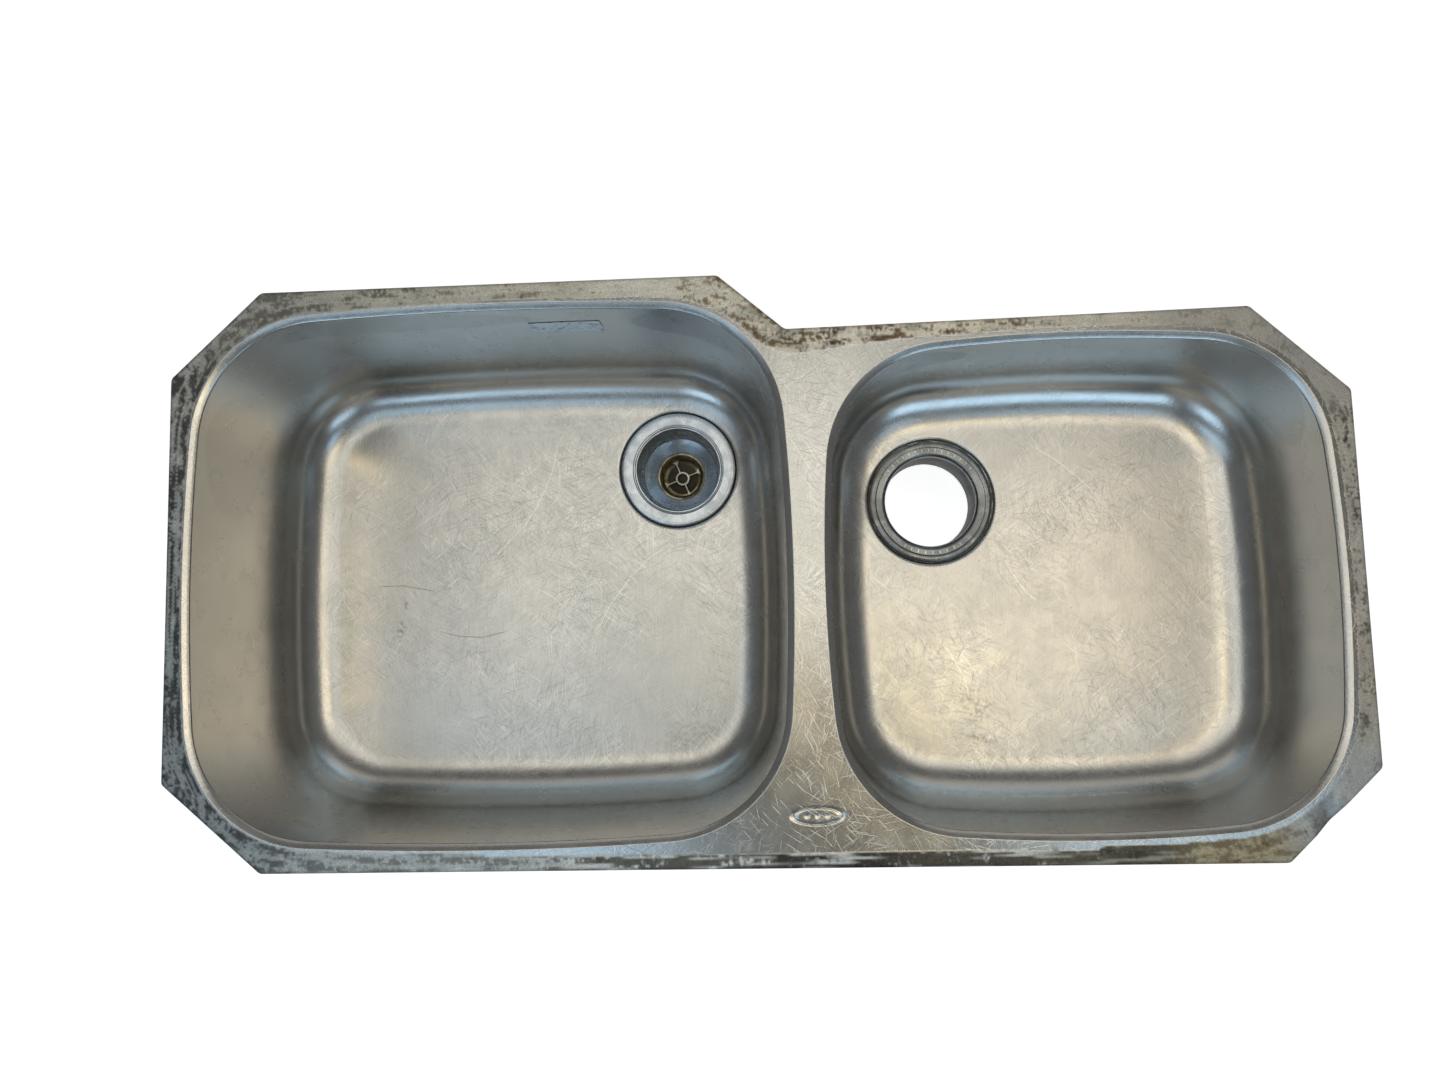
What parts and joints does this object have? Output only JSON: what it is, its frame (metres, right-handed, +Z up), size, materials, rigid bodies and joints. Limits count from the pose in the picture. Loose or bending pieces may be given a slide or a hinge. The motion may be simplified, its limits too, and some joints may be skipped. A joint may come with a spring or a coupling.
{
  "type": "undermount double bowl kitchen sink",
  "caption": "Undermount stainless kitchen sink with an offset large and small bowl, a basket strainer body and the sink flange of a food disposer.",
  "frame": {"origin": "on the top face of the land between the two bowls, 240 mm in from the back edge behind the large bowl", "axes": "+X along the length from the large bowl to the small bowl, +Y from the front edge to the back edge, +Z up out of the bowls"},
  "size_m": [0.961, 0.481, 0.279],
  "materials": {
    "sink_steel": "worn satin stainless steel with fine random scratches",
    "drain_steel": "polished stainless steel dulled by use",
    "dull_metal": "dull plated metal",
    "aged_brass": "dark aged brass",
    "putty": "old plumber's putty, dark grey",
    "black_rubber": "black rubber",
    "brown_rubber": "dirty brown rubber",
    "red_fibre": "pressed fibre washer, red-brown",
    "sound_padding": "dark grey sound-deadening pad",
    "label_film": "worn blank adhesive label"
  },
  "bodies": {
    "sink": {"deck": "sink_steel", "large_bowl_floor": "sink_steel", "large_bowl_front_wall": "sink_steel", "large_bowl_back_wall": "sink_steel", "large_bowl_left_wall": "sink_steel", "large_bowl_right_wall": "sink_steel", "large_bowl_front_left_corner": "sink_steel", "large_bowl_front_right_corner": "sink_steel", "large_bowl_back_left_corner": "sink_steel", "large_bowl_back_right_corner": "sink_steel", "small_bowl_floor": "sink_steel", "small_bowl_front_wall": "sink_steel", "small_bowl_back_wall": "sink_steel", "small_bowl_left_wall": "sink_steel", "small_bowl_right_wall": "sink_steel", "small_bowl_front_left_corner": "sink_steel", "small_bowl_front_right_corner": "sink_steel", "small_bowl_back_left_corner": "sink_steel", "small_bowl_back_right_corner": "sink_steel", "large_bowl_sound_pad": "sound_padding", "small_bowl_sound_pad": "sound_padding", "blank_label": "label_film", "strainer_body": "drain_steel", "strainer_outlet": "aged_brass", "strainer_putty": "putty", "strainer_gasket": "black_rubber", "disposer_sink_flange": "drain_steel", "disposer_putty": "putty", "disposer_fibre_gasket": "red_fibre", "disposer_mounting_ring": "dull_metal", "disposer_snap_ring": "drain_steel"},
    "plug": {"outlet_plug": "brown_rubber"},
    "friction_ring": {"strainer_friction_ring": "red_fibre"},
    "locknut": {"strainer_locknut": "dull_metal"},
    "backup_flange": {"disposer_backup_flange": "dull_metal"},
    "screw_1": {"backup_screw_1": "dull_metal"},
    "screw_2": {"backup_screw_2": "dull_metal"},
    "screw_3": {"backup_screw_3": "dull_metal"}
  },
  "joints": [
    {"name": "plug_pull", "type": "slide", "parent": "sink", "child": "plug", "axis": [0, 0, -1], "range_m": [0, 0.015]},
    {"name": "locknut_travel", "type": "slide", "parent": "sink", "child": "friction_ring", "axis": [0, 0, -1], "range_m": [0, 0.0127]},
    {"name": "locknut_turn", "type": "hinge", "parent": "friction_ring", "child": "locknut", "pos_m": [-0.1195, 0.1132, -0.218], "axis": [0, 0, -1], "range_deg": [0, 2160]},
    {"name": "backup_flange_drop", "type": "slide", "parent": "sink", "child": "backup_flange", "axis": [0, 0, -1], "range_m": [0, 0.00635]},
    {"name": "backup_screw_1_turn", "type": "hinge", "parent": "backup_flange", "child": "screw_1", "pos_m": [0.1195, 0.12, -0.165], "axis": [0, 0, -1], "range_deg": [0, 1800]},
    {"name": "backup_screw_2_turn", "type": "hinge", "parent": "backup_flange", "child": "screw_2", "pos_m": [0.07144, 0.03675, -0.165], "axis": [0, 0, -1], "range_deg": [0, 1800]},
    {"name": "backup_screw_3_turn", "type": "hinge", "parent": "backup_flange", "child": "screw_3", "pos_m": [0.16756, 0.03675, -0.165], "axis": [0, 0, -1], "range_deg": [0, 1800]}
  ],
  "couplings": [
    {"joint": "locknut_travel", "follows": "locknut_turn", "m_per_rad": 0.00033687},
    {"joint": "backup_screw_1_turn", "follows": "backup_flange_drop", "rad_per_m": 4947.4},
    {"joint": "backup_screw_2_turn", "follows": "backup_flange_drop", "rad_per_m": 4947.4},
    {"joint": "backup_screw_3_turn", "follows": "backup_flange_drop", "rad_per_m": 4947.4}
  ]
}
